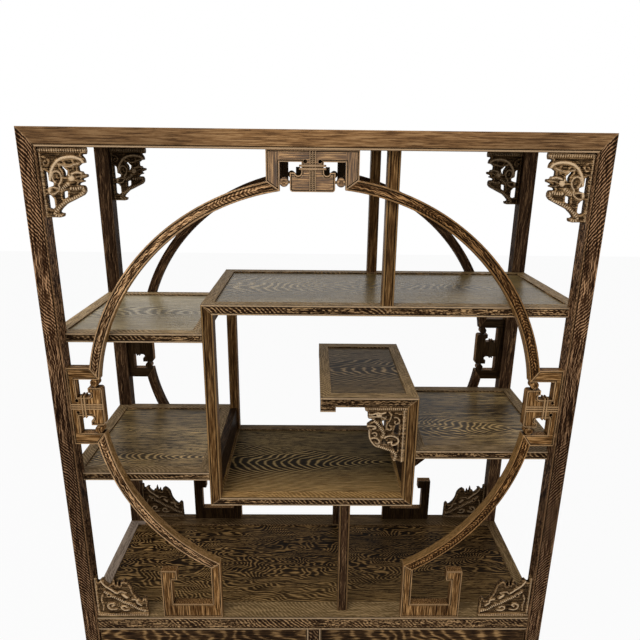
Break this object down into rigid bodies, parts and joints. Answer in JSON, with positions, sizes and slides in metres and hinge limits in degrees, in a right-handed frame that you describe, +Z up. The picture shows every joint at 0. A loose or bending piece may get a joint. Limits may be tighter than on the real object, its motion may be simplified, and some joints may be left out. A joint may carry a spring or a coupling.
{
  "type": "chinese book cabinet",
  "caption": "Open display bookcase with a round moon-gate frame, stepped shelves and key frets over a closed base with drawers and doors.",
  "frame": {"origin": "on the floor, at the middle of the cabinet's footprint", "axes": "+Z up, -Y out of the front, +X to the right as seen from the front"},
  "size_m": [1, 0.3695, 1.85],
  "materials": {
    "frame_wood": "satin lacquer, dark brown with fine tan streaks",
    "panel_wood": "satin lacquer, dark brown with feathered figure",
    "carved_wood": "satin lacquer, carved, lighter along the worked edges",
    "inner_wood": "waxed, plain",
    "brass": "aged brass"
  },
  "bodies": {
    "cabinet": {"post_front_left": "frame_wood", "post_front_right": "frame_wood", "post_back_left": "frame_wood", "post_back_right": "frame_wood", "top_long_rails": "frame_wood", "top_end_rails": "frame_wood", "top_panel": "panel_wood", "upper_right_shelf_frame": "frame_wood", "upper_right_shelf_panel": "panel_wood", "upper_left_shelf_frame": "frame_wood", "upper_left_shelf_panel": "panel_wood", "raised_shelf_frame": "frame_wood", "raised_shelf_panel": "panel_wood", "mid_right_shelf_frame": "frame_wood", "mid_right_shelf_panel": "panel_wood", "mid_left_shelf_frame": "frame_wood", "mid_left_shelf_panel": "panel_wood", "box_floor_frame": "frame_wood", "box_floor_panel": "panel_wood", "left_uprights": "frame_wood", "right_uprights": "frame_wood", "top_uprights": "frame_wood", "foot_uprights": "frame_wood", "box_cheeks": "panel_wood", "front_ring_arcs": "frame_wood", "back_ring_arcs": "frame_wood", "top_frets": "carved_wood", "side_frets": "carved_wood", "base_frets": "frame_wood", "upper_spandrels": "carved_wood", "lower_spandrels": "carved_wood", "shelf_brackets": "carved_wood", "deck_rails": "frame_wood", "deck_panel": "panel_wood", "panel_battens": "inner_wood", "base_front_rails": "frame_wood", "base_back_rails": "frame_wood", "base_end_rails": "frame_wood", "drawer_divider": "frame_wood", "base_panels": "panel_wood", "cabinet_floor": "inner_wood", "drawer_board": "inner_wood", "drawer_guides": "inner_wood", "aprons": "frame_wood"},
    "left_drawer": {"left_drawer_front": "frame_wood", "left_drawer_box": "inner_wood", "left_drawer_pull_plate": "brass"},
    "left_drawer_pull": {"left_drawer_pull_drop": "brass"},
    "left_door": {"left_door_frame": "frame_wood", "left_door_panel": "panel_wood", "left_door_pull_plate": "brass"},
    "left_door_pull": {"left_door_pull_drop": "brass"},
    "right_drawer": {"right_drawer_front": "frame_wood", "right_drawer_box": "inner_wood", "right_drawer_pull_plate": "brass"},
    "right_drawer_pull": {"right_drawer_pull_drop": "brass"},
    "right_door": {"right_door_frame": "frame_wood", "right_door_panel": "panel_wood", "right_door_pull_plate": "brass"},
    "right_door_pull": {"right_door_pull_drop": "brass"}
  },
  "joints": [
    {"name": "left_drawer_slide", "type": "slide", "parent": "cabinet", "child": "left_drawer", "axis": [0, -1, 0], "range_m": [0, 0.22]},
    {"name": "left_drawer_pull_swing", "type": "hinge", "parent": "left_drawer", "child": "left_drawer_pull", "pos_m": [-0.2425, -0.1817, 0.7505], "axis": [-1, 0, 0], "range_deg": [-3, 120]},
    {"name": "left_door_hinge", "type": "hinge", "parent": "cabinet", "child": "left_door", "pos_m": [-0.4585, -0.167, 0.392], "axis": [0, 0, -1], "range_deg": [0, 90]},
    {"name": "left_door_pull_swing", "type": "hinge", "parent": "left_door", "child": "left_door_pull", "pos_m": [-0.02475, -0.1825, 0.401], "axis": [-1, 0, 0], "range_deg": [-3, 120]},
    {"name": "right_drawer_slide", "type": "slide", "parent": "cabinet", "child": "right_drawer", "axis": [0, -1, 0], "range_m": [0, 0.22]},
    {"name": "right_drawer_pull_swing", "type": "hinge", "parent": "right_drawer", "child": "right_drawer_pull", "pos_m": [0.2425, -0.1817, 0.7505], "axis": [-1, 0, 0], "range_deg": [-3, 120]},
    {"name": "right_door_hinge", "type": "hinge", "parent": "cabinet", "child": "right_door", "pos_m": [0.4585, -0.167, 0.392], "axis": [0, 0, 1], "range_deg": [0, 90]},
    {"name": "right_door_pull_swing", "type": "hinge", "parent": "right_door", "child": "right_door_pull", "pos_m": [0.02475, -0.1825, 0.401], "axis": [-1, 0, 0], "range_deg": [-3, 120]}
  ]
}
